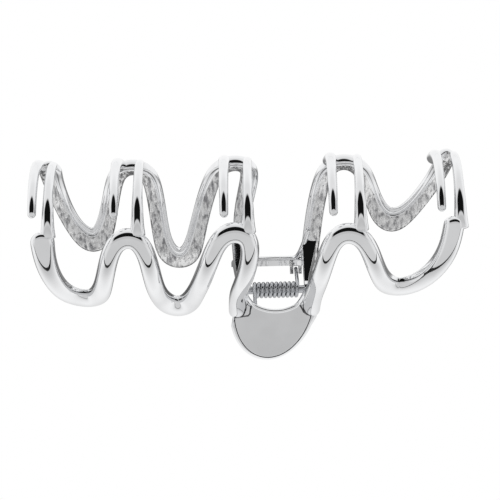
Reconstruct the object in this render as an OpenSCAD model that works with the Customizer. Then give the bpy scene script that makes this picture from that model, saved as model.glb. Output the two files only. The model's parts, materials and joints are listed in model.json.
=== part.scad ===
// Claw hair clip: two wavy cast jaws with curved teeth, sprung shut on one hinge pin.
// It stands on the tips of its thumb pads with the teeth up. X runs along the hinge.
// The front jaw is on the -Y side. Jaw parts are drawn for the back jaw and mirrored.

/* [Bars] */
// Width of a bar where it runs up and down as a leg
leg_w = 4; // [3.4:0.1:4.4]
// Width of a bar over its crests
crest_w = 3; // [2.6:0.1:3.6]
// Width of a bar round its troughs
trough_w = 4.2; // [3.4:0.1:4.4]
// Thickness of the cast sheet that the bars are cut from
sheet_t = 2.3; // [1.8:0.1:2.6]

/* [Jaw curve] */
// Radius of the upper, bulging curve of a jaw
bulge_r = 18; // [17:0.5:20]
// Height of the widest point of the bulge above the hinge
bulge_z = 19.5; // [18:0.5:21]
// Radius of the hollow curve between the waist and the bulge
waist_r = 13.3; // [12:0.1:14]
// Distance from the clip's middle plane to the waist
waist_y = 8.8; // [8.6:0.1:9.2]
// Height of the waist above the hinge
waist_z = 1.2; // [1:0.1:1.6]

/* [Thumb pad] */
// Angle between the pad and the vertical
pad_tilt = 50; // [45:1:55]
// Thickness of the pad
pad_t = 2; // [1.6:0.1:2.4]
// Longer half axis of the pad's oval outline
pad_long = 13.5; // [12.5:0.1:14]
// Shorter half axis of the pad's oval outline
pad_short = 9.8; // [9.4:0.1:10.2]
// Lean of the oval to one side
pad_lean = 18; // [10:1:22]
// Radius of the rounded notch in the pad's top edge
notch_r = 7; // [6.5:0.1:7.4]

/* [Teeth] */
// Radius of the arc that a tooth follows
tooth_arc_r = 15.8; // [15.6:0.1:16]
// Height of the middle of that arc above the hinge
tooth_arc_z = 17.9; // [17.7:0.1:18.1]
// Diameter of a tooth at its root
tooth_root_d = 2.4; // [2:0.1:2.6]
// Diameter of a tooth at its rounded tip
tooth_tip_d = 1.4; // [1:0.1:1.6]
// How far past the top of the arc a tooth reaches, in degrees
tooth_reach = 35; // [30:1:37]

/* [Hinge] */
// Diameter of the hinge pin
pin_d = 1.8; // [1.6:0.1:2]
// Diameter of the pin's riveted heads
pin_head_d = 3; // [2.6:0.1:3.4]
// Radial clearance between the pin and the back jaw's ears
running_gap = 0.05; // [0.02:0.01:0.1]
// Thickness of an ear
ear_t = 1; // [0.8:0.1:1]
// Diameter of the round end of an ear
ear_boss_d = 4.4; // [4:0.1:4.8]
// Distance from the clip's middle to the inner side of an inner ear
inner_ear_x = 6.6; // [6.5:0.1:6.7]
// Side gap between an inner ear and the other jaw's outer ear
ear_gap = 0.2; // [0.15:0.05:0.3]

/* [Spring] */
// Diameter of the spring wire
wire_d = 0.85; // [0.7:0.05:0.9]
// Outer diameter of the coil
coil_d = 3.9; // [3.8:0.1:4]
// Whole turns in the coil
coil_turns = 10; // [8:1:10]
// Distance between neighbouring turns
coil_pitch = 1; // [0.95:0.01:1.05]

/* [Hidden] */
$fn = 48;
chrome = [0.8, 0.8, 0.82];
steel = [0.55, 0.56, 0.58];

// Middle line of each bar as [x, z, width], from its free end to the thumb pad.
left_line = [
    [-50.4, 26, leg_w], [-50.2, 19.5, leg_w], [-48.6, 13.9, leg_w], [-46, 9.8, leg_w],
    [-42.8, 7.6, trough_w], [-40, 8.5, trough_w], [-38.5, 12, leg_w], [-36.8, 21.5, leg_w],
    [-35.3, 25.7, crest_w], [-31.9, 27.4, crest_w], [-28.8, 25.6, crest_w], [-27.6, 21, leg_w],
    [-27, 13.5, leg_w], [-26.3, 7.6, leg_w], [-25, 4.4, trough_w], [-22.3, 3.1, trough_w],
    [-19.6, 4.3, trough_w], [-18.4, 7.4, leg_w], [-16, 15.8, leg_w], [-13.7, 23.5, leg_w],
    [-11.6, 26.8, crest_w], [-8.3, 27.8, crest_w], [-5.6, 26.4, crest_w], [-5.1, 23.3, leg_w],
    [-6.8, 16, leg_w], [-8.7, 10, leg_w], [-9.6, 4.8, leg_w], [-9.4, 0.4, leg_w]
];
right_line = [
    [38.7, 27.6, leg_w], [37.7, 22, leg_w], [35, 16.3, leg_w], [31.2, 11.8, leg_w],
    [27.7, 10.1, trough_w], [24.9, 11.2, trough_w], [23.2, 14.3, leg_w], [21.5, 20.3, leg_w],
    [20.2, 24.8, crest_w], [16.6, 27.4, crest_w], [13, 25.9, crest_w], [11.4, 22.2, leg_w],
    [9.7, 14.2, leg_w], [8.3, 6, leg_w], [7.8, 0.4, leg_w]
];
line_steps = 4;

front_tooth_x = [-49.4, -29.8, -5.7, 18.9, 40.6];
back_tooth_x = [-52.9, -35, -10.9, 13, 36.6];
tooth_root = 56;
tooth_steps = 15;
tooth_sides = 10;

// Centres of the two arcs of the jaw curve, and the angle at which they meet.
waist_mid_y = waist_y + waist_r;
arcs_r = waist_r + bulge_r;
bulge_mid_y = waist_mid_y - sqrt(arcs_r * arcs_r - pow(bulge_z - waist_z, 2));
join_turn = asin((bulge_z - waist_z) / arcs_r);
foot_turn = 6;
top_turn = 43;
turn_step = 4;
sheet_far = bulge_mid_y + bulge_r + sheet_t;

// The pad's plane starts at the waist. Its own outline is in [x, distance down the slope].
// The bars end at its two shoulders, so that nothing stands over its outer face.
pad_top_y = waist_y - 0.2;
pad_mid_down = -2.1;
shoulder_down = 1;
shoulder_x = [-5.9, 5.7];
pad_sides = 64;
pad_low = pad_mid_down + sqrt(pow(pad_long * cos(pad_lean), 2) + pow(pad_short * sin(pad_lean), 2));

// The part stands on its pads, with its origin under the middle of its length.
lift = pad_low * cos(pad_tilt) + pad_t / 2 * sin(pad_tilt) - waist_z;
mid_x = (back_tooth_x[0] + front_tooth_x[4]) / 2;

outer_ear_x = inner_ear_x + ear_t + ear_gap;
pin_end_x = outer_ear_x + ear_t;
pin_head_t = 0.5;
ear_high = [waist_y + 0.6, waist_z + 6];
ear_low = [waist_y + 0.4, waist_z - 2.2];

coil_r = (coil_d - wire_d) / 2;
coil_half = coil_turns * coil_pitch / 2;
coil_steps = 16;
wire_sides = 8;
leg_end = [coil_half - 0.25, waist_y - 1.6, waist_z - 1];
seat_d = 0.8;
seat_x = [leg_end.x - wire_d / 2 - 0.55, leg_end.x + wire_d / 2 + 0.55];
seat_root = [waist_y - 0.4, waist_z - 0.2];
seat_tip = [waist_y - 1.9, waist_z - 2.3];

function unit(v) = v / norm(v);
function flat_norm(v) = norm([v.x, v.y]);
function reversed(list) = [for (i = [len(list) - 1:-1:0]) list[i]];

// A point on the smooth curve through the points p, between p[i] and p[i + 1].
function curve_point(p, i, t) =
    let (a = p[max(i - 1, 0)], b = p[i], c = p[i + 1], d = p[min(i + 2, len(p) - 1)])
    (2 * b + (c - a) * t + (2 * a - 5 * b + 4 * c - d) * t * t
        + (3 * b - a - 3 * c + d) * t * t * t) / 2;

function curve(p) = concat(
    [for (i = [0:len(p) - 2], k = [0:line_steps - 1]) curve_point(p, i, k / line_steps)],
    [p[len(p) - 1]]
);

// One side of a band whose middle line is p, where p holds [x, z, width].
function band_side(p, side) = [
    for (i = [0:len(p) - 1])
        let (along = p[min(i + 1, len(p) - 1)] - p[max(i - 1, 0)])
        [p[i].x, p[i].y] + side * p[i].z / 2 * [-along.y, along.x] / flat_norm(along)
];

// The round end of the same band, at its first point.
function end_cap(p) =
    let (along = p[1] - p[0], heading = atan2(along.y, along.x))
    [for (turn = [-120:-30:-240])
        [p[0].x, p[0].y] + p[0].z / 2 * [cos(heading + turn), sin(heading + turn)]];

// One side of the jaw's curved sheet as [y, z], off away from its middle towards the outside.
function sheet_side(off) = concat(
    [for (turn = [-foot_turn:turn_step:join_turn - turn_step / 2])
        [waist_mid_y, waist_z] + (waist_r - off) * [-cos(turn), sin(turn)]],
    [for (turn = [-join_turn:turn_step:top_turn])
        [bulge_mid_y, bulge_z] + (bulge_r + off) * [cos(turn), sin(turn)]]
);

function path_way(p, i) = unit(p[min(i + 1, len(p) - 1)] - p[max(i - 1, 0)]);

function ring(p, i, r, sides) =
    let (way = path_way(p, i), a = unit([1, 0, 0] - way.x * way), b = cross(way, a))
    [for (k = [0:sides - 1]) p[i] + r * (cos(360 * k / sides) * a + sin(360 * k / sides) * b)];

function arc_point(x, turn) = [x, tooth_arc_r * sin(turn), tooth_arc_z + tooth_arc_r * cos(turn)];

// A round bar of changing radius along a path that never runs along X.
module round_bar(path, radii, sides) {
    last = len(path) - 1;
    polyhedron(
        points = [for (i = [0:last]) each ring(path, i, radii[i], sides)],
        faces = concat(
            [[for (k = [0:sides - 1]) k]],
            [for (i = [0:last - 1], k = [0:sides - 1])
                let (next = (k + 1) % sides)
                [i * sides + k, (i + 1) * sides + k, (i + 1) * sides + next, i * sides + next]],
            [[for (k = [sides - 1:-1:0]) last * sides + k]]
        )
    );
}

// Draws its children, which are laid out about the hinge, in the part's own frame.
module placed() {
    translate([-mid_x, 0, lift]) children();
}

// A jaw's parts are drawn for the back jaw. side is 1 for the back jaw and -1 for the front.
module on_jaw(side) {
    color(chrome) placed() mirror([0, side < 0 ? 1 : 0, 0]) children();
}

// Cross-section of a jaw in the YZ plane.
module jaw_section() {
    polygon(concat(sheet_side(sheet_t / 2), reversed(sheet_side(-sheet_t / 2))));
}

module bar_outline(line) {
    middle = curve(line);
    polygon(concat(band_side(middle, 1), reversed(band_side(middle, -1)), end_cap(middle)));
}

module bar(line) {
    reach = abs(line[0].x) + leg_w;
    intersection() {
        translate([0, sheet_far, 0]) rotate([90, 0, 0]) linear_extrude(sheet_far) bar_outline(line);
        translate([-reach, 0, 0]) rotate([90, 0, 90]) linear_extrude(2 * reach) jaw_section();
    }
}

module pad_outline() {
    difference() {
        translate([0, pad_mid_down]) rotate(pad_lean)
            polygon([for (i = [0:pad_sides - 1])
                [pad_short * cos(360 * i / pad_sides), pad_long * sin(360 * i / pad_sides)]]);
        translate([shoulder_x[0] - 2 * pad_long, shoulder_down - 2 * pad_long]) square(2 * pad_long);
        translate([shoulder_x[1], shoulder_down - 2 * pad_long]) square(2 * pad_long);
        translate([-pad_long, -notch_r - 2 * pad_long]) square(2 * pad_long);
        translate([0, -notch_r]) circle(notch_r);
    }
}

// The pad's plane runs down and outwards from the waist.
module thumb_pad() {
    translate([0, pad_top_y, waist_z]) rotate([pad_tilt - 90, 0, 0])
        mirror([0, 0, 1]) linear_extrude(pad_t, center = true) pad_outline();
}

module ear(x, hole_r) {
    boss_r = ear_boss_d / 2;
    translate([x, 0, 0]) rotate([90, 0, 90]) difference() {
        union() {
            cylinder(h = ear_t, r = boss_r);
            linear_extrude(ear_t)
                polygon([[0, 0.9 * boss_r], ear_high, ear_low, [0, -0.9 * boss_r]]);
        }
        translate([0, 0, -ear_t]) cylinder(h = 3 * ear_t, r = hole_r);
    }
}

// Two stubs on the inside of the waist that keep the spring's leg from sliding sideways.
module spring_seat() {
    stub = seat_tip - seat_root;
    for (x = seat_x)
        translate([x, seat_root.x, seat_root.y]) rotate([atan2(-stub.x, stub.y), 0, 0]) {
            cylinder(h = norm(stub), d = seat_d);
            translate([0, 0, norm(stub)]) sphere(d = seat_d);
        }
}

module tooth(x) {
    tip_r = tooth_tip_d / 2;
    root_r = tooth_root_d / 2;
    sweep_turn = tooth_root + tooth_reach;
    tip_turn = asin(tip_r / tooth_arc_r);
    shaft = [for (i = [0:tooth_steps]) i / tooth_steps];
    cap = [25, 50, 75];
    path = concat(
        [for (f = shaft) arc_point(x, tooth_root - f * sweep_turn)],
        [for (q = cap) arc_point(x, -tooth_reach - tip_turn * sin(q))]
    );
    radii = concat([for (f = shaft) root_r + f * (tip_r - root_r)], [for (q = cap) tip_r * cos(q)]);
    round_bar(path, radii, tooth_sides);
}

module hinge_pin() {
    color(steel) placed() rotate([0, 90, 0]) {
        cylinder(h = 2 * pin_end_x, d = pin_d, center = true);
        for (side = [-1, 1])
            translate([0, 0, side * (pin_end_x + pin_head_t / 2)])
                cylinder(h = pin_head_t, d = pin_head_d, center = true);
    }
}

module torsion_spring() {
    coil = [for (i = [0:coil_turns * coil_steps])
        let (turn = 360 * i / coil_steps)
        [-coil_half + coil_pitch * i / coil_steps, coil_r * sin(turn), coil_r * cos(turn)]];
    path = concat([[-leg_end.x, -leg_end.y, leg_end.z]], coil, [leg_end]);
    color(steel) placed() round_bar(path, [for (p = path) wire_d / 2], wire_sides);
}

// Each jaw has one inner and one outer ear. Here are its left ear, right ear and bore radius.
for (jaw = [["front", -1, front_tooth_x, inner_ear_x, outer_ear_x, pin_d / 2],
            ["back", 1, back_tooth_x, outer_ear_x, inner_ear_x, pin_d / 2 + running_gap]]) {
    name = jaw[0];
    on_jaw(jaw[1]) bar(left_line);
    on_jaw(jaw[1]) bar(right_line);
    on_jaw(jaw[1]) thumb_pad();
    on_jaw(jaw[1]) ear(-jaw[3] - ear_t, jaw[5]);
    on_jaw(jaw[1]) ear(jaw[4], jaw[5]);
    on_jaw(jaw[1]) mirror([jaw[1] < 0 ? 1 : 0, 0, 0]) spring_seat();
    for (i = [0:len(jaw[2]) - 1])
        on_jaw(jaw[1]) tooth(jaw[2][i]);
}
hinge_pin();
torsion_spring();
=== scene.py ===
import json
import logging
import math
from dataclasses import dataclass, field
from enum import Enum
from typing import Iterable, Sequence, Union

import bmesh
import bpy
from bmesh.types import BMesh, BMVert
from mathutils import Matrix, Vector


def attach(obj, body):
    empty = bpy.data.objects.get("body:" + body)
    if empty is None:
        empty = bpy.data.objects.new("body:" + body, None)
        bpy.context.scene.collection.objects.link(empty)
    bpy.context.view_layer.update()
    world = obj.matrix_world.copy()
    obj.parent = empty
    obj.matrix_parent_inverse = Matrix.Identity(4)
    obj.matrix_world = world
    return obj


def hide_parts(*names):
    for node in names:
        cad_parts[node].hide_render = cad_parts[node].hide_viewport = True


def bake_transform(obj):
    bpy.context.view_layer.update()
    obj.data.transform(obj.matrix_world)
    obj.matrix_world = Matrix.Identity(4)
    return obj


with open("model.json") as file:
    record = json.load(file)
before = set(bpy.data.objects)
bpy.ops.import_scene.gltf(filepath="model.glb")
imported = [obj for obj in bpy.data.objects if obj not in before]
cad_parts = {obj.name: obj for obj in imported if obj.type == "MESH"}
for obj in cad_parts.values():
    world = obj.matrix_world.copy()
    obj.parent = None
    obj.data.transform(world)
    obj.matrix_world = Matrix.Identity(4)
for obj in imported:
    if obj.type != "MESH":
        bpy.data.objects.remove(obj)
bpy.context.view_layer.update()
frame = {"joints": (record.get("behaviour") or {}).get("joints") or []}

MM = 0.001
HINGE = Vector(frame["joints"][0]["pos_m"])
LOG = logging.getLogger("claw_clip")

Number = Union[int, float]
Source = Union[bpy.types.NodeSocket, "Wire", Number, Sequence[float]]


class Jaw(Enum):
    """One of the two jaws. Jaw pieces are drawn for the back jaw and mirrored for the front."""

    FRONT = "front"
    BACK = "back"

    @property
    def body(self) -> str:
        """The moving body that the jaw's pieces ride on."""
        return f"{self.value}_jaw"

    @property
    def sign(self) -> int:
        """The side of the clip's middle plane that the jaw is on."""
        return 1 if self is Jaw.BACK else -1


class Slot(Enum):
    """Finishes that the record names."""

    CHROME = "chrome_casting"
    STEEL = "spring_steel"


class Wire:
    """A value in a material's maths, so that shader maths reads as plain expressions."""

    def __init__(self, sheet: "NodeSheet", source: Source) -> None:
        """Keeps a socket or a number.

        Args:
            sheet: The node sheet that the maths is added to.
            source: The socket or number that this value stands for.
        """
        self.sheet = sheet
        self.source = source

    def _math(self, operation: str, first: Source, second: Source) -> "Wire":
        """Adds one Math node and returns its result."""
        node = self.sheet.add("ShaderNodeMath", {"operation": operation}, {0: first, 1: second})
        return Wire(self.sheet, node.outputs[0])

    def __add__(self, other: Source) -> "Wire":
        """Adds."""
        return self._math("ADD", self, other)

    def __radd__(self, other: Source) -> "Wire":
        """Adds, with the number first."""
        return self._math("ADD", other, self)

    def __sub__(self, other: Source) -> "Wire":
        """Subtracts."""
        return self._math("SUBTRACT", self, other)

    def __rsub__(self, other: Source) -> "Wire":
        """Subtracts from a number."""
        return self._math("SUBTRACT", other, self)

    def __mul__(self, other: Source) -> "Wire":
        """Multiplies."""
        return self._math("MULTIPLY", self, other)

    def __rmul__(self, other: Source) -> "Wire":
        """Multiplies, with the number first."""
        return self._math("MULTIPLY", other, self)

    def __abs__(self) -> "Wire":
        """Takes the size without its sign."""
        return self._math("ABSOLUTE", self, 0.0)

    def turn_from(self, other: "Wire") -> "Wire":
        """Returns the angle in degrees whose rise is this value and whose run is the other."""
        return self._math("ARCTAN2", self, other) * math.degrees(1)

    def step(self, low: float, high: float) -> "Wire":
        """Returns a smooth step from 0 below low to 1 above high.

        Args:
            low: The value at which the step starts.
            high: The value at which it ends.

        Returns:
            The step as a value from 0 to 1.
        """
        settings = {"interpolation_type": "SMOOTHSTEP"}
        values = {"Value": self, "From Min": low, "From Max": high}
        node = self.sheet.add("ShaderNodeMapRange", settings, values)
        return Wire(self.sheet, node.outputs["Result"])


class NodeSheet:
    """A node tree that is filled from its inputs to its output."""

    def __init__(self, tree: bpy.types.NodeTree) -> None:
        """Empties the tree.

        Args:
            tree: The tree of a material or a world.
        """
        self.tree = tree
        tree.nodes.clear()

    def add(self, kind: str, settings: dict, values: dict) -> bpy.types.Node:
        """Makes one node.

        Args:
            kind: The node's type.
            settings: Its own settings, set before its sockets.
            values: The value or the link of each input socket, by name or place.

        Returns:
            The new node.
        """
        node = self.tree.nodes.new(kind)
        for name, setting in settings.items():
            setattr(node, name, setting)
        for name, value in values.items():
            source = value.source if isinstance(value, Wire) else value
            if isinstance(source, bpy.types.NodeSocket):
                self.tree.links.new(source, node.inputs[name])
            else:
                node.inputs[name].default_value = source
        return node

    def wire(self, socket: bpy.types.NodeSocket) -> Wire:
        """Wraps a socket for use in maths."""
        return Wire(self, socket)

    def place(self, stretch: Sequence[float] = (1.0, 1.0, 1.0)) -> bpy.types.NodeSocket:
        """Returns the place on the piece, stretched along its axes.

        Args:
            stretch: How much each axis is multiplied by.

        Returns:
            The place as a vector socket.
        """
        place = self.add("ShaderNodeTexCoord", {}, {}).outputs["Object"]
        mapping = self.add("ShaderNodeMapping", {}, {"Vector": place, "Scale": stretch})
        return mapping.outputs["Vector"]

    def noise(self, place: bpy.types.NodeSocket, per_metre: float, detail: float = 2.0) -> Wire:
        """Returns a cloudy noise.

        Args:
            place: The coordinates that it is laid over.
            per_metre: How many blotches there are in a metre.
            detail: How many finer layers it has.

        Returns:
            The noise as a value from 0 to 1.
        """
        values = {"Vector": place, "Scale": per_metre, "Detail": detail}
        return self.wire(self.add("ShaderNodeTexNoise", {}, values).outputs["Fac"])

    def blend(self, share: Source, low: Sequence[float], high: Sequence[float]) -> Wire:
        """Returns a colour between two colours.

        Args:
            share: How much of the second colour there is.
            low: The first colour.
            high: The second colour.

        Returns:
            The mixed colour.
        """
        settings = {"data_type": "RGBA"}
        node = self.add("ShaderNodeMix", settings, {0: share, 6: (*low, 1.0), 7: (*high, 1.0)})
        return self.wire(node.outputs[2])

    def bump(self, height: Wire, strength: float, depth: float) -> bpy.types.NodeSocket:
        """Returns a bumped normal.

        Args:
            height: The relief.
            strength: How strongly it shows.
            depth: Its depth in metres.

        Returns:
            The normal socket.
        """
        node = self.add("ShaderNodeBump", {}, {"Height": height, "Strength": strength, "Distance": depth})
        return node.outputs["Normal"]


def new_sheet(name: str) -> tuple[bpy.types.Material, NodeSheet]:
    """Makes an empty material.

    Args:
        name: The material's name.

    Returns:
        The material and its empty node sheet.
    """
    material = bpy.data.materials.new(name)
    material.use_nodes = True
    return material, NodeSheet(material.node_tree)


def metal(sheet: NodeSheet, colour: Source, roughness: Source, normal: Source) -> None:
    """Ends a sheet with a metal surface.

    Args:
        sheet: The sheet of the material.
        colour: The metal's colour.
        roughness: Its roughness.
        normal: Its bumped normal.
    """
    values = {"Base Color": colour, "Metallic": 1.0, "Roughness": roughness, "Normal": normal}
    surface = sheet.add("ShaderNodeBsdfPrincipled", {}, values)
    sheet.add("ShaderNodeOutputMaterial", {}, {"Surface": surface.outputs[0]})


@dataclass(frozen=True)
class PolishedChrome:
    """Bright plating over a polished casting, with the faint waviness that hand polishing leaves."""

    colour: tuple[float, float, float] = (0.88, 0.885, 0.895)
    dull_colour: tuple[float, float, float] = (0.83, 0.835, 0.845)
    roughness: float = 0.035
    haze: float = 0.05
    wave_depth: float = 0.00006

    def material(self) -> bpy.types.Material:
        """Builds the plated surface."""
        material, sheet = new_sheet("polished_chrome")
        place = sheet.place()
        cloud = sheet.noise(place, 160.0)
        fine = sheet.noise(place, 1900.0)
        colour = sheet.blend(cloud.step(0.35, 0.7), self.colour, self.dull_colour)
        roughness = self.roughness + cloud.step(0.45, 0.75) * fine * self.haze
        metal(sheet, colour, roughness, sheet.bump(cloud, 0.25, self.wave_depth))
        return material


@dataclass(frozen=True)
class RoughChrome:
    """Plating over the as-cast skin on a jaw's inner side, pitted and drawn out up and down."""

    bright: tuple[float, float, float] = (0.8, 0.8, 0.8)
    dark: tuple[float, float, float] = (0.26, 0.26, 0.27)
    roughness: float = 0.1
    pit_depth: float = 0.0009

    def material(self) -> bpy.types.Material:
        """Builds the pitted surface."""
        material, sheet = new_sheet("rough_cast_chrome")
        streaks = sheet.noise(sheet.place((1.0, 1.0, 0.14)), 1700.0, 2.0)
        blotches = sheet.noise(sheet.place((1.0, 1.0, 0.4)), 800.0, 3.0)
        relief = streaks * 0.5 + blotches * 0.5
        pits = relief.step(0.34, 0.56)
        colour = sheet.blend(pits, self.dark, self.bright)
        roughness = self.roughness + (1.0 - pits) * 0.12
        metal(sheet, colour, roughness, sheet.bump(relief, 1.0, self.pit_depth))
        return material


@dataclass(frozen=True)
class DrawnSteel:
    """Spring wire and pin stock with the fine lines of drawing and a thin plating."""

    bright: tuple[float, float, float] = (0.66, 0.67, 0.69)
    dark: tuple[float, float, float] = (0.4, 0.41, 0.43)
    roughness: float = 0.16

    def material(self) -> bpy.types.Material:
        """Builds the drawn surface."""
        material, sheet = new_sheet("drawn_steel")
        lines = sheet.noise(sheet.place((0.3, 1.0, 1.0)), 2600.0, 3.0)
        stain = sheet.noise(sheet.place(), 420.0)
        colour = sheet.blend(lines * 0.5 + stain * 0.5, self.dark, self.bright)
        roughness = self.roughness + lines.step(0.4, 0.7) * 0.14
        metal(sheet, colour, roughness, sheet.bump(lines, 0.4, 0.00003))
        return material


@dataclass(frozen=True)
class PaintedStepShade:
    """A dull dark line of painted shade, laid in the narrow step where shade falls."""

    colour: tuple[float, float, float] = (0.07, 0.07, 0.075)
    pale: tuple[float, float, float] = (0.16, 0.16, 0.165)

    def material(self) -> bpy.types.Material:
        """Builds the painted shade of the step."""
        material, sheet = new_sheet("painted_step_shade")
        cloud = sheet.noise(sheet.place(), 600.0)
        # Painted shade: a dark colour with a paler cloud in it, standing in for the shade in the step.
        metal(sheet, sheet.blend(cloud.step(0.4, 0.7), self.colour, self.pale), 0.5,
              sheet.bump(cloud, 0.3, 0.00005))
        return material


@dataclass(frozen=True)
class Finishes:
    """Every finish of the clip, each made once."""

    polished: bpy.types.Material = field(default_factory=lambda: PolishedChrome().material())
    rough: bpy.types.Material = field(default_factory=lambda: RoughChrome().material())
    steel: bpy.types.Material = field(default_factory=lambda: DrawnSteel().material())
    step_shade: bpy.types.Material = field(default_factory=lambda: PaintedStepShade().material())


@dataclass(frozen=True)
class Station:
    """One place along a swept bar, in millimetres about the hinge."""

    middle: Vector
    along: Vector
    out: Vector
    half_w: float
    half_t: float

    def matrix(self) -> Matrix:
        """Returns the transform from the unit section to this station."""
        along = self.along.normalized()
        side = along.cross(self.out).normalized()
        out = side.cross(along)
        turned = Matrix((side * self.half_w, out * self.half_t, along)).transposed()
        return Matrix.Translation(self.middle) @ turned.to_4x4()


def smooth_path(points: Sequence[Vector], steps: int, passes: int) -> list[Vector]:
    """Threads a smooth curve through points and evens out its bends.

    Args:
        points: The points, of any number of numbers each.
        steps: How many places to take between two points.
        passes: How many times each place moves towards its neighbours.

    Returns:
        The places along the curve, with the two ends kept.
    """
    last = len(points) - 1
    path = []
    for i in range(last):
        a, b = points[max(i - 1, 0)], points[i]
        c, d = points[i + 1], points[min(i + 2, last)]
        for t in (k / steps for k in range(steps)):
            bend = (2 * a - 5 * b + 4 * c - d) * t**2 + (3 * b - a - 3 * c + d) * t**3
            path.append((2 * b + (c - a) * t + bend) / 2)
    path.append(points[last])
    for _ in range(passes):
        inner = [(path[i - 1] + 2 * path[i] + path[i + 1]) / 4 for i in range(1, len(path) - 1)]
        path = [path[0], *inner, path[-1]]
    return path


def way_at(path: Sequence[Vector], i: int) -> Vector:
    """Returns the direction of a path at one of its places."""
    return (path[min(i + 1, len(path) - 1)] - path[max(i - 1, 0)]).normalized()


def round_end(station: Station, length: float, towards: float, turns: Iterable[float]) -> list[Station]:
    """Rounds off a bar beyond one of its end stations.

    Args:
        station: The end station.
        length: How far the round end stands beyond it.
        towards: 1 where the bar ends ahead of the station, and -1 where it ends behind.
        turns: Angles of the quarter round, in degrees.

    Returns:
        The stations of the round end, in order away from the bar.
    """
    ends = []
    for turn in turns:
        q = math.radians(turn)
        middle = station.middle + station.along * (towards * length * math.sin(q))
        size = math.cos(q)
        half_w, half_t = station.half_w * size, station.half_t * size
        ends.append(Station(middle, station.along, station.out, half_w, half_t))
    return ends


def new_loop(bm: BMesh, points: Iterable[Sequence[float]]) -> list[BMVert]:
    """Draws a closed loop of edges.

    Args:
        bm: The mesh that it is drawn in.
        points: The corners of the loop.

    Returns:
        The loop's vertices.
    """
    verts = [bm.verts.new(point) for point in points]
    for i, vert in enumerate(verts):
        bm.edges.new((vert, verts[(i + 1) % len(verts)]))
    return verts


def sweep(
    section: Sequence[tuple[float, float]],
    stations: Sequence[Station],
    inner: range = range(0),
) -> BMesh:
    """Carries a section along stations by extruding it and moving each new ring.

    Args:
        section: The unit section, as places across and outwards.
        stations: Where the section goes, in order.
        inner: The lanes of the section, by place in it, that take the second material.

    Returns:
        The closed swept mesh.
    """
    bm = bmesh.new()
    lane = bm.verts.layers.int.new("lane")
    ring = new_loop(bm, [(across, out, 0.0) for across, out in section])
    for i, vert in enumerate(ring):
        vert[lane] = i
    edges = list(bm.edges)
    bmesh.ops.transform(bm, matrix=stations[0].matrix(), verts=ring)
    bmesh.ops.contextual_create(bm, geom=edges)
    for before, after in zip(stations, stations[1:]):
        grown = bmesh.ops.extrude_edge_only(bm, edges=edges)["geom"]
        ring = [item for item in grown if isinstance(item, BMVert)]
        new = set(ring)
        edges = [e for e in grown if isinstance(e, bmesh.types.BMEdge) and new.issuperset(e.verts)]
        bmesh.ops.transform(bm, matrix=after.matrix() @ before.matrix().inverted(), verts=ring)
    bmesh.ops.contextual_create(bm, geom=edges)
    for face in bm.faces:
        if all(vert[lane] in inner for vert in face.verts):
            face.material_index = 1
    bm.verts.layers.int.remove(lane)
    return bm


def round_section(sides: int) -> list[tuple[float, float]]:
    """Returns a unit circle with this many sides."""
    turns = [2 * math.pi * i / sides for i in range(sides)]
    return [(math.cos(turn), math.sin(turn)) for turn in turns]


def join(meshes: Iterable[BMesh]) -> BMesh:
    """Puts several meshes into one and frees them.

    Args:
        meshes: The meshes to put together.

    Returns:
        The one mesh.
    """
    whole = bmesh.new()
    for part in meshes:
        held = bpy.data.meshes.new("held")
        part.to_mesh(held)
        part.free()
        whole.from_mesh(held)
        bpy.data.meshes.remove(held)
    return whole


@dataclass
class Bench:
    """Turns finished bmeshes into pieces of the clip and fastens them to their bodies."""

    finishes: Finishes
    made: list[str] = field(default_factory=list)

    def piece(
        self,
        bm: BMesh,
        name: str,
        jaw: Jaw,
        nodes: Sequence[str],
        materials: Sequence[bpy.types.Material],
        smooth: int = 0,
        sharp_over: float = 180.0,
        soften: float = 0.0,
    ) -> bpy.types.Object:
        """Makes an object of a mesh that is drawn for the back jaw, in millimetres about the hinge.

        Args:
            bm: The mesh, which is freed.
            name: The piece's name.
            jaw: The jaw that it belongs to.
            nodes: The CAD nodes that it stands for.
            materials: Its finishes, by the material place of its faces.
            smooth: Levels of surface subdivision.
            sharp_over: Edges that bend more than this many degrees stay crisp.
            soften: How far crisp edges are rounded, in millimetres.

        Returns:
            The piece, riding on its jaw.
        """
        bmesh.ops.scale(bm, vec=(1.0, jaw.sign, 1.0), verts=bm.verts)
        obj = self.solid(bm, name, materials, smooth, sharp_over)
        if soften:
            bevel = obj.modifiers.new("soften", "BEVEL")
            bevel.width = soften * MM
            bevel.segments = 3
            bevel.angle_limit = math.radians(sharp_over)
        if not smooth:
            obj.modifiers.new("flats", "WEIGHTED_NORMAL").keep_sharp = True
        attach(obj, jaw.body)
        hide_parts(*nodes)
        return obj

    def solid(
        self,
        bm: BMesh,
        name: str,
        materials: Sequence[bpy.types.Material],
        smooth: int,
        sharp_over: float,
    ) -> bpy.types.Object:
        """Makes a shaded object of a closed mesh, in metres and in the clip's own frame.

        Args:
            bm: The mesh in millimetres about the hinge, which is freed.
            name: The object's name.
            materials: Its finishes.
            smooth: Levels of surface subdivision.
            sharp_over: Edges that bend more than this many degrees stay crisp.

        Returns:
            The new object.
        """
        bmesh.ops.transform(bm, matrix=Matrix.Translation(HINGE) @ Matrix.Scale(MM, 4), verts=bm.verts)
        bmesh.ops.recalc_face_normals(bm, faces=bm.faces)
        mesh = bpy.data.meshes.new(name)
        bm.to_mesh(mesh)
        bm.free()
        mesh.polygons.foreach_set("use_smooth", [True] * len(mesh.polygons))
        mesh.set_sharp_from_angle(angle=math.radians(sharp_over))
        for material in materials:
            mesh.materials.append(material)
        obj = bpy.data.objects.new(name, mesh)
        bpy.context.scene.collection.objects.link(obj)
        if smooth:
            surface = obj.modifiers.new("surface", "SUBSURF")
            surface.levels = smooth
            surface.render_levels = smooth
        self.made.append(name)
        LOG.info("%s: %d faces", name, len(mesh.polygons))
        return obj


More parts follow.
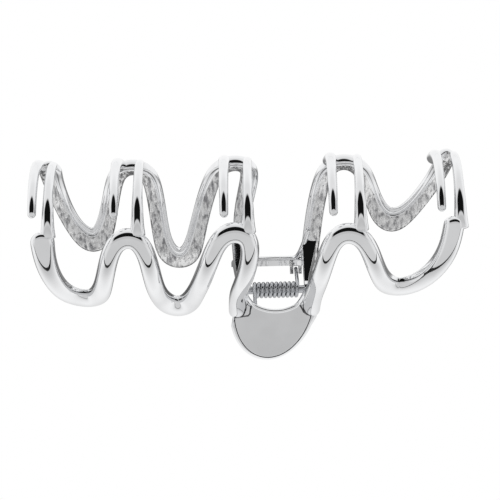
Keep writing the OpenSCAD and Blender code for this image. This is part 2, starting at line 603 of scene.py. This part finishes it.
@dataclass
class JawSheet:
    """The curved sheet that a jaw's bars follow: a hollow at the waist, then a bulge, in YZ."""

    bulge_r: float = 18.0
    bulge_z: float = 19.5
    waist_r: float = 13.3
    waist_y: float = 8.8
    waist_z: float = 1.2
    pad_top_y: float = 8.6
    pad_tilt: float = math.radians(50)

    @property
    def down(self) -> Vector:
        """The way down the thumb pad's slope."""
        return Vector((0.0, math.sin(self.pad_tilt), -math.cos(self.pad_tilt)))

    @property
    def pad_out(self) -> Vector:
        """The way straight out of the thumb pad."""
        return Vector((0.0, math.cos(self.pad_tilt), math.sin(self.pad_tilt)))

    def surface(self, x: float, z: float) -> tuple[Vector, Vector]:
        """Finds the sheet's middle at a height.

        Args:
            x: The place along the clip.
            z: The height above the hinge.

        Returns:
            The point on the sheet and the way out of it.
        """
        waist_mid = Vector((0.0, self.waist_y + self.waist_r, self.waist_z))
        rise = self.bulge_z - self.waist_z
        reach = self.waist_r + self.bulge_r
        bulge_mid = Vector((0.0, waist_mid.y - math.sqrt(reach**2 - rise**2), self.bulge_z))
        meet_z = self.waist_z + self.waist_r * rise / reach
        if z < self.waist_z:
            on_pad = Vector((x, self.pad_top_y, self.waist_z)) + self.down * self.slope(z)
            return on_pad, self.pad_out
        if z < meet_z:
            y = waist_mid.y - math.sqrt(self.waist_r**2 - (z - self.waist_z) ** 2)
            point = Vector((0.0, y, z))
            return Vector((x, y, z)), (waist_mid - point).normalized()
        y = bulge_mid.y + math.sqrt(self.bulge_r**2 - (z - self.bulge_z) ** 2)
        point = Vector((0.0, y, z))
        return Vector((x, y, z)), (point - bulge_mid).normalized()

    def slope(self, z: float) -> float:
        """Returns how far down the pad's slope a height is."""
        return (self.waist_z - z) / math.cos(self.pad_tilt)

    def on_pad(self, x: float, down: float, out: float) -> Vector:
        """Returns a point by its place along the pad, down its slope and out of its middle plane."""
        return Vector((x, self.pad_top_y, self.waist_z)) + self.down * down + self.pad_out * out


@dataclass
class WaveBar:
    """A wavy cast bar, rounded and polished outside, flat and rough inside, with a rim along its top."""

    name: str
    sheet: JawSheet
    line: Sequence[tuple[float, float, float]]
    upper: int
    half_t: float = 1.5
    foot_share: float = 0.45
    foot_growth: float = 0.14
    blunt: float = 0.5
    steps: int = 4
    passes: int = 6

    section = (
        (1.03, -0.55), (1.01, -0.05), (0.86, 0.36), (0.56, 0.74), (0.16, 1.0), (-0.24, 1.03), (-0.6, 0.86),
        (-0.86, 0.52), (-1.0, 0.05), (-1.03, -0.5), (-0.9, -1.02), (-0.3, -1.0), (0.36, -0.98),
        (0.42, -0.74), (0.5, -0.74), (0.56, -1.02), (0.93, -1.05), (1.03, -0.9),
    )
    rough_lanes = range(9, 13)

    def stations(self) -> list[Station]:
        """Lays the bar's middle line on the jaw's sheet."""
        flat = smooth_path([Vector(point) for point in self.line], self.steps, self.passes)
        places = [self.sheet.surface(p.x, p.y) for p in flat]
        middles = smooth_path([place for place, _ in places], 1, self.passes)
        outs = smooth_path([out for _, out in places], 1, self.passes)
        stations = []
        for i, middle in enumerate(middles):
            along, out = way_at(middles, i), outs[i].normalized()
            side = out.cross(along).normalized()
            seen = math.hypot(side.x, side.z)
            half_t = self.half_t * min(1.0, self.foot_share + self.foot_growth * flat[i].z)
            stations.append(Station(middle, along, out, self.upper * flat[i].z / 2 / seen, half_t))
        start, end = stations[0], stations[-1]
        free = round_end(start, abs(start.half_w), -1, (84, 72, 60, 46, 31, 15))
        foot = round_end(end, self.blunt, 1, (35, 65, 85))
        return [*free, *stations, *foot]

    def build(self, bench: Bench, jaw: Jaw) -> None:
        """Makes the bar for one jaw."""
        bm = sweep(self.section, self.stations(), self.rough_lanes)
        finishes = (bench.finishes.polished, bench.finishes.rough)
        node = f"{jaw.value}_{self.name}"
        bench.piece(bm, f"{node}_casting", jaw, [node], finishes, smooth=2)


@dataclass
class ThumbPad:
    """The oval pad at the foot of a jaw, with a raised flat face and a rounded rim."""

    sheet: JawSheet
    thickness: float = 2.0
    middle: float = -2.1
    shift: float = -0.45
    long: float = 13.5
    short: float = 9.8
    lean: float = math.radians(18)
    narrow_at: float = math.radians(62)
    notch_r: float = 9.5
    notch_low: float = 0.3
    shoulder_down: float = 1.2
    foot_cover: float = 2.6
    step_w: float = 0.22
    line_w: float = 0.12
    line_t: float = 0.13
    sides: int = 96
    rim_w: float = 0.85
    face_rise: float = 0.22
    wire_r: float = 0.55
    wire_sink: float = 0.25

    def oval(self, inset: float, turn: float) -> Vector:
        """Returns a point on the oval as [x, down the slope], a little way in from its edge."""
        inset *= 1.2 - 0.85 * max(0.0, math.cos(turn - self.narrow_at)) ** 2
        x, y = (self.short - inset) * math.cos(turn), (self.long - inset) * math.sin(turn)
        c, s = math.cos(self.lean), math.sin(self.lean)
        return Vector((x * c - y * s + self.shift, x * s + y * c + self.middle))

    def oval_below(self, inset: float, down: float) -> list[Vector]:
        """Returns the oval's points that are lower than a line, from the right round to the left."""
        top = self.sides // 6
        turns = [2 * math.pi * i / self.sides for i in range(-top, self.sides - top)]
        points = [self.oval(inset, turn) for turn in turns]
        return [p for p in points if p.y > down]

    def notch(self, x: float) -> Vector:
        """Returns the point of the notch's edge at a place along the clip, as [x, down the slope]."""
        return Vector((x, self.notch_low - self.notch_r + math.sqrt(self.notch_r**2 - x**2)))

    def notched(self, sides: Sequence[float]) -> list[Vector]:
        """Returns the notch's edge between two places along the clip, from left to right."""
        low, high = sides
        return [self.notch(low + (high - low) * i / 24) for i in range(25)]

    def plate_outline(self) -> list[Vector]:
        """Returns the outline of the pad's plate, which runs up under the feet of both bars."""
        left = [Vector((-10.1, 1.6)), Vector((-9.6, -0.4)), Vector((-7.2, -1.6))]
        right = [Vector((6.9, -1.6)), Vector((8.8, -0.4)), Vector((9.1, 1.5))]
        return [*self.oval_below(0.0, self.foot_cover), *left, *self.notched((-6.4, 6.0)), *right]

    def step(self) -> tuple[list[Vector], list[Vector]]:
        """Returns the face's two edges beside the feet of the bars, each from the oval to the notch."""
        low = self.shoulder_down
        left = [Vector((-6.5, low)), Vector((-6.0, low - 0.5)), Vector((-5.9, low - 1.3)), self.notch(-5.6)]
        right = [Vector((7.0, low)), Vector((6.1, low - 0.6)), Vector((5.7, low - 1.5)), self.notch(5.2)]
        return left, right

    def face_outline(self) -> list[Vector]:
        """Returns the outline of the raised face, stepped back beside the feet of both bars."""
        left, right = self.step()
        top = self.notched((-5.3, 4.9))
        return [*self.oval_below(self.rim_w, self.shoulder_down), *left, *top, *reversed(right)]

    def step_stations(self) -> list[Station]:
        """Lays the dark line of painted shade in the step round the face, which is widest beside the bars'
        feet.
        """
        left, right = self.step()
        outline = [*reversed(left), *reversed(self.oval_below(self.rim_w, self.shoulder_down)), *right]
        level = self.thickness / 2 - self.line_t
        path = [self.sheet.on_pad(p.x, p.y, level) for p in outline]
        stations = []
        for i, point in enumerate(path):
            wide = self.step_w if min(i, len(path) - 1 - i) < len(left) else self.line_w
            stations.append(Station(point, way_at(path, i), self.sheet.pad_out, wide, self.line_t))
        return stations

    def slab(
        self,
        outline: Sequence[Vector],
        low: float,
        high: float,
        rounding: float,
        segments: int,
    ) -> BMesh:
        """Raises an outline into a slab whose outer edge is rounded.

        Args:
            outline: The outline as [x, down the slope].
            low: The level of its inner side, out of the pad's middle plane.
            high: The level of its outer side.
            rounding: The radius of its outer edge.
            segments: How many facets the rounding has.

        Returns:
            The slab.
        """
        bm = bmesh.new()
        loop = new_loop(bm, [self.sheet.on_pad(p.x, p.y, low) for p in outline])
        face = bmesh.ops.contextual_create(bm, geom=loop)["faces"]
        top = bmesh.ops.extrude_face_region(bm, geom=face)["geom"]
        raised = [item for item in top if isinstance(item, BMVert)]
        bmesh.ops.translate(bm, vec=self.sheet.pad_out * (high - low), verts=raised)
        lid = set(raised)
        edges = [e for e in bm.edges if lid.issuperset(e.verts)]
        bmesh.ops.bevel(bm, geom=edges, offset=rounding, segments=segments, profile=0.5,
                        affect="EDGES", clamp_overlap=True, material=-1)
        return bm

    def rim_stations(self) -> list[Station]:
        """Lays the round edge of the notch, which climbs to the inner edges of both bars."""
        level = self.thickness / 2 - self.wire_sink
        low = [self.sheet.on_pad(p.x, p.y, level) for p in self.notched((-5.4, 5.0))]
        left = [Vector((-7.6, 8.9, 8.6)), Vector((-7.0, 8.3, 6.0)), Vector((-6.4, 8.1, 4.0))]
        right = [Vector((5.9, 8.1, 4.0)), Vector((6.6, 8.4, 6.4)), Vector((7.9, 9.4, 10.2))]
        path = smooth_path([*left, *low, *right], 2, 8)
        return [Station(p, way_at(path, i), Vector((0.0, 1.0, 0.0)), self.wire_r, self.wire_r)
                for i, p in enumerate(path)]

    def build(self, bench: Bench, jaw: Jaw) -> None:
        """Makes the plate, its raised face and the rim of its notch for one jaw."""
        half = self.thickness / 2
        plate = self.slab(self.plate_outline(), -half, half - self.face_rise, self.rim_w, 6)
        face = self.slab(self.face_outline(), 0.0, half, self.face_rise, 3)
        node = f"{jaw.value}_thumb_pad"
        polished = (bench.finishes.polished,)
        bench.piece(plate, f"{node}_plate", jaw, [node], polished, sharp_over=35)
        bench.piece(face, f"{node}_face", jaw, [node], polished, sharp_over=35)
        # A dark line of painted shade in the step round the raised face.
        line = sweep(round_section(8), self.step_stations())
        bench.piece(line, f"{node}_step_shade_line", jaw, [node], (bench.finishes.step_shade,))
        rim = sweep(round_section(12), self.rim_stations())
        bench.piece(rim, f"{jaw.value}_notch_rim", jaw, [node], polished, smooth=1)


@dataclass
class Tooth:
    """A round curved tooth that runs over the top of the clip and past its middle."""

    arc_r: float = 15.8
    arc_z: float = 17.9
    root_r: float = 1.8
    foot_r: float = 1.6
    neck_r: float = 1.25
    tip_r: float = 1.0
    root: float = 51.5
    root_t: float = 0.6
    flare: float = 10.0
    taper: float = 34.0

    def stations(self, x: float, reach: float) -> list[Station]:
        """Lays the tooth's rings along its arc.

        Args:
            x: The place along the clip.
            reach: How far past the top of the arc it goes, in degrees.

        Returns:
            The rings, from root to tip.
        """
        stations = []
        for i in range(31):
            turn = self.root - (self.root + reach) * i / 30
            into_flare = max(0.0, 1 - (self.root - turn) / self.flare)
            shaft = (self.root - turn) / (self.root + reach)
            radius = self.neck_r + (self.tip_r - self.neck_r) * shaft
            radius += (self.foot_r - self.neck_r) * max(0.0, 1 - (self.root - turn) / self.taper)
            spread = radius + (self.root_r - self.foot_r) * into_flare**2
            t = math.radians(turn)
            out = Vector((0.0, math.sin(t), math.cos(t)))
            along = Vector((0.0, -math.cos(t), math.sin(t)))
            middle = Vector((x, 0.0, self.arc_z)) + out * self.arc_r
            stations.append(Station(middle, along, out, spread, radius))
        root = round_end(stations[0], self.root_t, -1, (78, 60, 40, 20))
        return [*root, *stations, *round_end(stations[-1], self.tip_r, 1, (20, 42, 62, 80))]

    def build(self, bench: Bench, jaw: Jaw, number: int, place: tuple[float, float]) -> None:
        """Makes one tooth of a jaw at a place along the clip, with its reach."""
        node = f"{jaw.value}_tooth_{number}"
        bm = sweep(round_section(12), self.stations(*place))
        bench.piece(bm, f"{node}_casting", jaw, [node], (bench.finishes.polished,), smooth=1)


@dataclass
class HingeEar:
    """A flat ear with a bored round boss, which widens into a gusset where it meets its bar."""

    inner_x: float
    gusset: tuple[float, float]
    thickness: float = 1.0
    rounding: float = 0.06
    boss_r: float = 2.2
    high: tuple[float, float] = (9.4, 7.4)
    waist: tuple[float, float] = (8.1, 2.2)
    low: tuple[float, float] = (9.0, -0.6)

    def build(self, bench: Bench, jaw: Jaw, side: int, bore_r: float) -> None:
        """Makes the ear on one side of a jaw.

        Args:
            bench: Where pieces are made.
            jaw: The jaw that it belongs to.
            side: 1 for the right ear and -1 for the left.
            bore_r: The radius of its bore.
        """
        bm = bmesh.new()
        turns = [math.radians(turn) for turn in range(80, 281, 10)]
        boss = [(0.0, self.boss_r * math.cos(t), self.boss_r * math.sin(t)) for t in turns]
        low, waist, high = (Vector((0.0, *corner)) for corner in (self.low, self.waist, self.high))
        lower = [Vector(boss[-1]).lerp(low, t) for t in (0.08, 0.92)]
        upper = [high.lerp(Vector(boss[0]), t) for t in (0.08, 0.92)]
        new_loop(bm, [*boss, *lower, low, waist, high, *upper])
        outer_edges = list(bm.edges)
        circle = bmesh.ops.create_circle(bm, segments=32, radius=bore_r,
                                         matrix=Matrix.Rotation(math.radians(90), 4, "Y"))["verts"]
        hole_edges = [e for e in bm.edges if set(circle).issuperset(e.verts)]
        bmesh.ops.triangle_fill(bm, edges=[*outer_edges, *hole_edges], use_beauty=True,
                                normal=(1.0, 0.0, 0.0))
        wide = bmesh.ops.extrude_face_region(bm, geom=list(bm.faces))["geom"]
        far = [item for item in wide if isinstance(item, BMVert)]
        bmesh.ops.translate(bm, vec=(self.thickness, 0.0, 0.0), verts=far)
        for vert in bm.verts:
            share = max(0.0, vert.co.y - self.boss_r) / (self.low[0] - self.boss_r)
            vert.co.x += share * (self.gusset[1] if vert.co.x > self.thickness / 2 else -self.gusset[0])
        bmesh.ops.translate(bm, vec=(self.inner_x, 0.0, 0.0), verts=bm.verts)
        bmesh.ops.scale(bm, vec=(side, 1.0, 1.0), verts=bm.verts)
        bmesh.ops.recalc_face_normals(bm, faces=bm.faces)
        node = f"{jaw.value}_{'right' if side > 0 else 'left'}_ear"
        bench.piece(bm, f"{node}_casting", jaw, [node], (bench.finishes.polished,),
                    sharp_over=40, soften=self.rounding)


@dataclass
class SpringSeat:
    """Two short prongs on a bridge at the waist that hold a leg of the spring between them."""

    prong_x: tuple[float, float] = (3.775, 5.725)
    half_w: float = 0.45
    rounding: float = 0.12
    bend: tuple[float, float] = (7.5, 0.4)
    bridge_at: tuple[float, float] = (8.1, 1.0)
    bridge_size: tuple[float, float] = (1.1, 0.9)
    root: tuple[float, float] = (8.5, 1.6)
    tip: tuple[float, float] = (6.9, -1.1)

    def prong(self, x: float) -> BMesh:
        """Shapes one prong at a place along the clip."""
        path = [Vector((x, *place)) for place in (self.root, self.bend, self.tip)]
        stations = [Station(p, way_at(path, i), Vector((1.0, 0.0, 0.0)), self.half_w, self.half_w)
                    for i, p in enumerate(path)]
        square = [(0.9, -0.9), (0.9, 0.9), (-0.9, 0.9), (-0.9, -0.9)]
        return sweep(square, stations)

    def bridge(self) -> BMesh:
        """Shapes the bar that joins the prongs to the waist."""
        bm = bmesh.new()
        bmesh.ops.create_cube(bm, size=1.0)
        left, right = self.prong_x
        bmesh.ops.scale(bm, vec=(right - left + 2.4 * self.half_w, *self.bridge_size), verts=bm.verts)
        bmesh.ops.translate(bm, vec=((left + right) / 2, *self.bridge_at), verts=bm.verts)
        return bm

    def build(self, bench: Bench, jaw: Jaw) -> None:
        """Makes the seat for one jaw, on its own side of the clip."""
        bm = join([*(self.prong(x) for x in self.prong_x), self.bridge()])
        bmesh.ops.scale(bm, vec=(jaw.sign, 1.0, 1.0), verts=bm.verts)
        bmesh.ops.recalc_face_normals(bm, faces=bm.faces)
        node = f"{jaw.value}_spring_seat"
        bench.piece(bm, f"{node}_casting", jaw, [node], (bench.finishes.rough,),
                    sharp_over=40, soften=self.rounding)


@dataclass
class HingePin:
    """The pin, with a domed riveted head at each end."""

    radius: float = 0.9
    head_r: float = 1.5
    head_t: float = 0.5
    chamfer: float = 0.08
    end_x: float = 8.8

    def build(self, bench: Bench) -> None:
        """Turns the pin on the hinge line."""
        bm = bmesh.new()
        dome = [(self.head_r * math.cos(math.radians(t)), self.head_t * math.sin(math.radians(t)))
                for t in (15, 40, 60, 75)]
        rim = self.head_r - self.chamfer
        right = [(self.end_x, self.radius), (self.end_x, rim), (self.end_x + self.chamfer, self.head_r)]
        right += [(self.end_x + out, r) for r, out in dome]
        right.append((self.end_x + self.head_t, 0.0))
        profile = [(-x, r) for x, r in reversed(right)] + right
        verts = [bm.verts.new((x, 0.0, r)) for x, r in profile]
        for a, b in zip(verts, verts[1:]):
            bm.edges.new((a, b))
        bmesh.ops.spin(bm, geom=[*bm.verts, *bm.edges], cent=(0.0, 0.0, 0.0), axis=(1.0, 0.0, 0.0),
                       angle=2 * math.pi, steps=40, use_merge=True)
        bmesh.ops.remove_doubles(bm, verts=bm.verts, dist=0.001)
        bench.piece(bm, "hinge_pin_turned", Jaw.FRONT, ["hinge_pin"], (bench.finishes.steel,),
                    sharp_over=50)


@dataclass
class TorsionSpring:
    """The wound spring round the pin, with one leg to each jaw."""

    wire_r: float = 0.425
    coil_r: float = 1.525
    turns: int = 10
    pitch: float = 1.0
    steps: int = 20
    leg_x: float = 4.75
    leg_end: tuple[float, float] = (7.2, 0.2)

    def path(self) -> list[Vector]:
        """Winds the wire from the front leg, through the coil, to the back leg."""
        half = self.turns * self.pitch / 2
        places = []
        for i in range(self.turns * self.steps + 1):
            turn = 2 * math.pi * i / self.steps
            x = -half + self.pitch * i / self.steps
            places.append(Vector((x, self.coil_r * math.sin(turn), self.coil_r * math.cos(turn))))
        y, z = self.leg_end
        start, end = Vector((-self.leg_x, -y, z)), Vector((self.leg_x, y, z))
        front = [start.lerp(places[0], t) for t in (0.0, 0.3, 0.6, 0.85)]
        back = [places[-1].lerp(end, t) for t in (0.15, 0.4, 0.7, 1.0)]
        return smooth_path([*front, *places, *back], 1, 1)

    def build(self, bench: Bench) -> None:
        """Makes the spring between the two jaws, as one fixed piece."""
        path = self.path()
        aside = Vector((1.0, 0.0, 0.0))
        stations = [Station(p, way_at(path, i), aside, self.wire_r, self.wire_r) for i, p in enumerate(path)]
        bm = sweep(round_section(10), stations)
        spring = bench.solid(bm, "torsion_spring_wire", (bench.finishes.steel,), 0, 60)
        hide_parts("torsion_spring")
        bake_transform(spring)


@dataclass
class ClawClip:
    """The whole clip: both jaws, the pin and the spring."""

    bench: Bench
    sheet: JawSheet = field(default_factory=JawSheet)
    leg: float = 4.0
    crest: float = 4.0
    trough: float = 5.0
    end: float = 5.2
    foot: float = 4.4
    teeth: dict[Jaw, tuple[tuple[float, float], ...]] = field(default_factory=lambda: {
        Jaw.FRONT: ((-49.4, 33), (-29.8, 33), (-5.7, 33), (18.9, 33), (40.6, 33)),
        Jaw.BACK: ((-52.9, 32.5), (-35.0, 34.5), (-10.9, 36), (13.0, 37), (36.6, 35.5)),
    })

    def left_line(self, jaw: Jaw) -> list[tuple[float, float, float]]:
        """Returns the left bar's middle line as [x, z, width], from its free end to the pad."""
        leg, crest, trough, end = self.leg, self.crest, self.trough, self.end
        front_foot = [(-8.3, 10, 3.8), (-8.9, 4.8, 3.8), (-8.6, 1.0, self.foot)]
        back_foot = [(-8.0, 10, 3.6), (-7.9, 4.8, 3.0), (-7.9, 1.0, 3.0)]
        return [
            (-50.7, 26.6, end), (-50.6, 22, 4.6), (-48.6, 13.9, leg), (-46, 9.6, leg),
            (-42.8, 7.2, trough), (-40, 8.2, trough), (-38.5, 12, leg), (-36.8, 21.5, leg),
            (-35.3, 26, crest), (-31.9, 27.8, crest), (-28.8, 25.9, crest), (-27.6, 21, leg),
            (-27, 13.5, leg), (-26.3, 7.6, leg), (-25, 4.1, trough), (-22.3, 2.7, trough),
            (-19.6, 4, trough), (-18.4, 7.4, leg), (-16, 15.8, leg), (-13.7, 23.5, leg),
            (-11.6, 27.1, crest), (-8.3, 28.2, crest), (-5.6, 26.7, crest), (-5.1, 23.3, leg),
            (-6.7, 16, leg), *(front_foot if jaw is Jaw.FRONT else back_foot),
        ]

    def right_line(self) -> list[tuple[float, float, float]]:
        """Returns the right bar's middle line as [x, z, width], from its free end to the pad."""
        leg, crest, trough, end = self.leg, self.crest, self.trough, self.end
        return [
            (39.1, 28.0, 4.4), (38.2, 22.4, 4.3), (35, 16.3, leg), (31.2, 11.6, leg),
            (27.7, 9.7, trough), (24.9, 10.9, trough), (23.2, 14.3, leg), (21.5, 20.3, leg),
            (20.2, 25.1, crest), (16.6, 27.8, crest), (13, 26.2, crest), (11.4, 22.2, leg),
            (9.7, 14.2, leg), (8.3, 6, leg), (7.8, 1.0, leg),
        ]

    def build(self) -> None:
        """Makes every piece of the clip."""
        inner = HingeEar(6.6, gusset=(0.2, 2.2))
        outer = {jaw: HingeEar(7.8, gusset=(0.3, 0.2 if jaw is Jaw.FRONT else 1.2)) for jaw in Jaw}
        ears = {Jaw.FRONT: (inner, outer[Jaw.FRONT]), Jaw.BACK: (outer[Jaw.BACK], inner)}
        bores = {Jaw.FRONT: 0.9, Jaw.BACK: 0.95}
        tooth = Tooth()
        for jaw in Jaw:
            WaveBar("left_bar", self.sheet, self.left_line(jaw), 1).build(self.bench, jaw)
            WaveBar("right_bar", self.sheet, self.right_line(), -1).build(self.bench, jaw)
            ThumbPad(self.sheet).build(self.bench, jaw)
            SpringSeat().build(self.bench, jaw)
            for side, ear in zip((-1, 1), ears[jaw]):
                ear.build(self.bench, jaw, side, bores[jaw])
            for number, place in enumerate(self.teeth[jaw], 1):
                tooth.build(self.bench, jaw, number, place)
        HingePin().build(self.bench)
        TorsionSpring().build(self.bench)


@dataclass
class Studio:
    """A white table in a soft studio, whose one dark panel hangs above the clip.

    The floor's distances are in metres, and the camera's are in millimetres. Places in the backdrop go by
    how far they rise from level at the front round over the clip, in degrees, and by how far they are
    aside, from 0 to 1.
    """

    floor_size: float = 8.0
    front_edge: float = 0.062
    edge_strip: float = 0.012
    wall: float = 0.68
    side: float = 0.85
    # The glow's painted shade: under the clip, in a band behind it, and darker towards the front edge ahead
    # of it.
    shade: float = 0.2
    shade_behind: float = 0.75
    fall: float = 0.38
    clip_side: tuple[float, float] = (0.06, 0.12)
    under_edge: tuple[float, float] = (0.004, 0.02)
    behind_start: tuple[float, float] = (-0.004, 0.01)
    behind_end: tuple[float, float] = (0.05, 0.075)
    ahead_end: float = -0.014
    edge_glow: float = 0.02
    wall_top: tuple[float, float] = (64.0, 70.0)
    wall_side: tuple[float, float] = (0.8, 0.95)
    dip: float = 0.1
    dip_start: tuple[float, float] = (40.0, 57.0)
    dip_end: tuple[float, float] = (57.5, 62.0)
    panel_start: tuple[float, float] = (64.0, 67.0)
    panel_end: tuple[float, float] = (98.0, 105.0)
    panel_side: tuple[float, float] = (0.76, 0.88)
    back_light: tuple[float, float] = (110.0, 160.0)
    dark: float = 0.008
    lens: float = 145.71
    distance: float = 460.0
    look_down: float = math.radians(40)
    swing: float = math.radians(1.0)
    tilt: float = math.radians(2.1)
    aim: tuple[float, float] = (-5.67, 12.29)

    def sheet_of(self, name: str, low: float, high: float) -> bpy.types.Object:
        """Lays a strip of the floor that runs the whole width, between two distances behind the clip."""
        bm = bmesh.new()
        bmesh.ops.create_grid(bm, x_segments=1, y_segments=1, size=0.5)
        bmesh.ops.scale(bm, vec=(self.floor_size, high - low, 1.0), verts=bm.verts)
        bmesh.ops.translate(bm, vec=(0.0, (high + low) / 2, 0.0), verts=bm.verts)
        mesh = bpy.data.meshes.new(name)
        bm.to_mesh(mesh)
        bm.free()
        strip = bpy.data.objects.new(name, mesh)
        bpy.context.scene.collection.objects.link(strip)
        return strip

    def floor(self) -> None:
        """Lays the white table top, with painted shade in its glow under, behind and ahead of the clip, and
        a dark strip along its front edge.
        """
        top = self.sheet_of("studio_floor", -self.front_edge, self.floor_size / 2)
        material, sheet = new_sheet("white_table")
        way = sheet.add("ShaderNodeTexCoord", {}, {}).outputs["Object"]
        axes = sheet.add("ShaderNodeSeparateXYZ", {}, {"Vector": way})
        x, y = (sheet.wire(axes.outputs[i]) for i in range(2))
        # Painted shadow: the glow that the metal mirrors is darkened under and behind the clip, and ahead of
        # it towards the front edge.
        within = 1.0 - abs(x).step(*self.clip_side)
        under = within * (1.0 - abs(y).step(*self.under_edge))
        behind = within * y.step(*self.behind_start) * (1.0 - y.step(*self.behind_end))
        ahead = within * (1.0 - y.step(-self.front_edge, self.ahead_end))
        self.glow(sheet, 1.0 - under * self.shade - behind * self.shade_behind - ahead * self.fall)
        top.data.materials.append(material)
        edge = self.sheet_of("studio_floor_edge", -self.front_edge - self.edge_strip, -self.front_edge)
        material, sheet = new_sheet("table_edge")
        self.glow(sheet, self.edge_glow)
        edge.data.materials.append(material)

    def glow(self, sheet: NodeSheet, level: Source) -> None:
        """Ends a sheet with a white glow, which the camera itself sees through to the white beyond.

        Args:
            sheet: The sheet of the material.
            level: How brightly the metal mirrors it, which carries the table's painted shade.
        """
        camera_ray = sheet.add("ShaderNodeLightPath", {}, {}).outputs["Is Camera Ray"]
        glow = sheet.add("ShaderNodeEmission", {}, {"Color": (1.0, 1.0, 1.0, 1.0), "Strength": level})
        clear = sheet.add("ShaderNodeBsdfTransparent", {}, {})
        by_ray = {0: camera_ray, 1: glow.outputs[0], 2: clear.outputs[0]}
        mixed = sheet.add("ShaderNodeMixShader", {}, by_ray)
        sheet.add("ShaderNodeOutputMaterial", {}, {"Surface": mixed.outputs[0]})

    def surroundings(self) -> None:
        """Paints the studio round the table: pale walls, a grey front and a dark panel overhead."""
        world = bpy.data.worlds.new("studio")
        bpy.context.scene.world = world
        world.use_nodes = True
        sheet = NodeSheet(world.node_tree)
        way = sheet.add("ShaderNodeTexCoord", {}, {}).outputs["Generated"]
        axes = sheet.add("ShaderNodeSeparateXYZ", {}, {"Vector": way})
        x, y, z = (sheet.wire(axes.outputs[i]) for i in range(3))
        rise = z.turn_from(0.0 - y)
        aside = abs(x)
        front = 1.0 - rise.step(*self.wall_top)
        dip = rise.step(*self.dip_start) * (1.0 - rise.step(*self.dip_end))
        panel = rise.step(*self.panel_start) * (1.0 - rise.step(*self.panel_end))
        panel = panel * (1.0 - aside.step(*self.panel_side))
        level = self.side + rise.step(*self.back_light) * (1.0 - self.side)
        level = level - front * (1.0 - aside.step(*self.wall_side)) * (self.side - self.wall)
        level = level - dip * self.dip
        level = level * (1.0 - panel * (1.0 - self.dark))
        camera_ray = sheet.wire(sheet.add("ShaderNodeLightPath", {}, {}).outputs["Is Camera Ray"])
        level = level * (1.0 - camera_ray) + camera_ray
        back = sheet.add("ShaderNodeBackground", {}, {"Color": (1.0, 1.0, 1.0, 1.0), "Strength": level})
        sheet.add("ShaderNodeOutputWorld", {}, {"Surface": back.outputs[0]})
        bpy.context.scene.view_settings.view_transform = "Standard"

    def camera(self) -> None:
        """Sets the camera up in front of the clip, looking down on it."""
        data = bpy.data.cameras.new("studio_camera")
        data.lens = self.lens
        data.clip_start = 0.01
        camera = bpy.data.objects.new("studio_camera", data)
        bpy.context.scene.collection.objects.link(camera)
        c, s = math.cos(self.look_down), math.sin(self.look_down)
        swing = Matrix.Rotation(self.swing, 3, "Z")
        right, up, ahead = (swing @ Vector(v) for v in ((1, 0, 0), (0, s, c), (0, c, -s)))
        ct, st = math.cos(self.tilt), math.sin(self.tilt)
        axes = (right * ct - up * st, right * st + up * ct, -ahead)
        stand = swing @ Vector((self.aim[0], -self.distance * c, self.aim[1] + self.distance * s))
        camera.matrix_world = Matrix.Translation(HINGE + stand * MM) @ Matrix(axes).transposed().to_4x4()
        bpy.context.scene.camera = camera

    def build(self) -> None:
        """Sets up the floor, the light and the camera."""
        self.floor()
        self.surroundings()
        self.camera()


def main() -> None:
    """Builds the clip and its studio, and logs how many pieces were made."""
    logging.basicConfig(level=logging.INFO, format="%(message)s")
    Studio().build()
    clip = ClawClip(Bench(Finishes()))
    clip.build()
    LOG.info("%d pieces made", len(clip.bench.made))


if __name__ == "__main__":
    main()
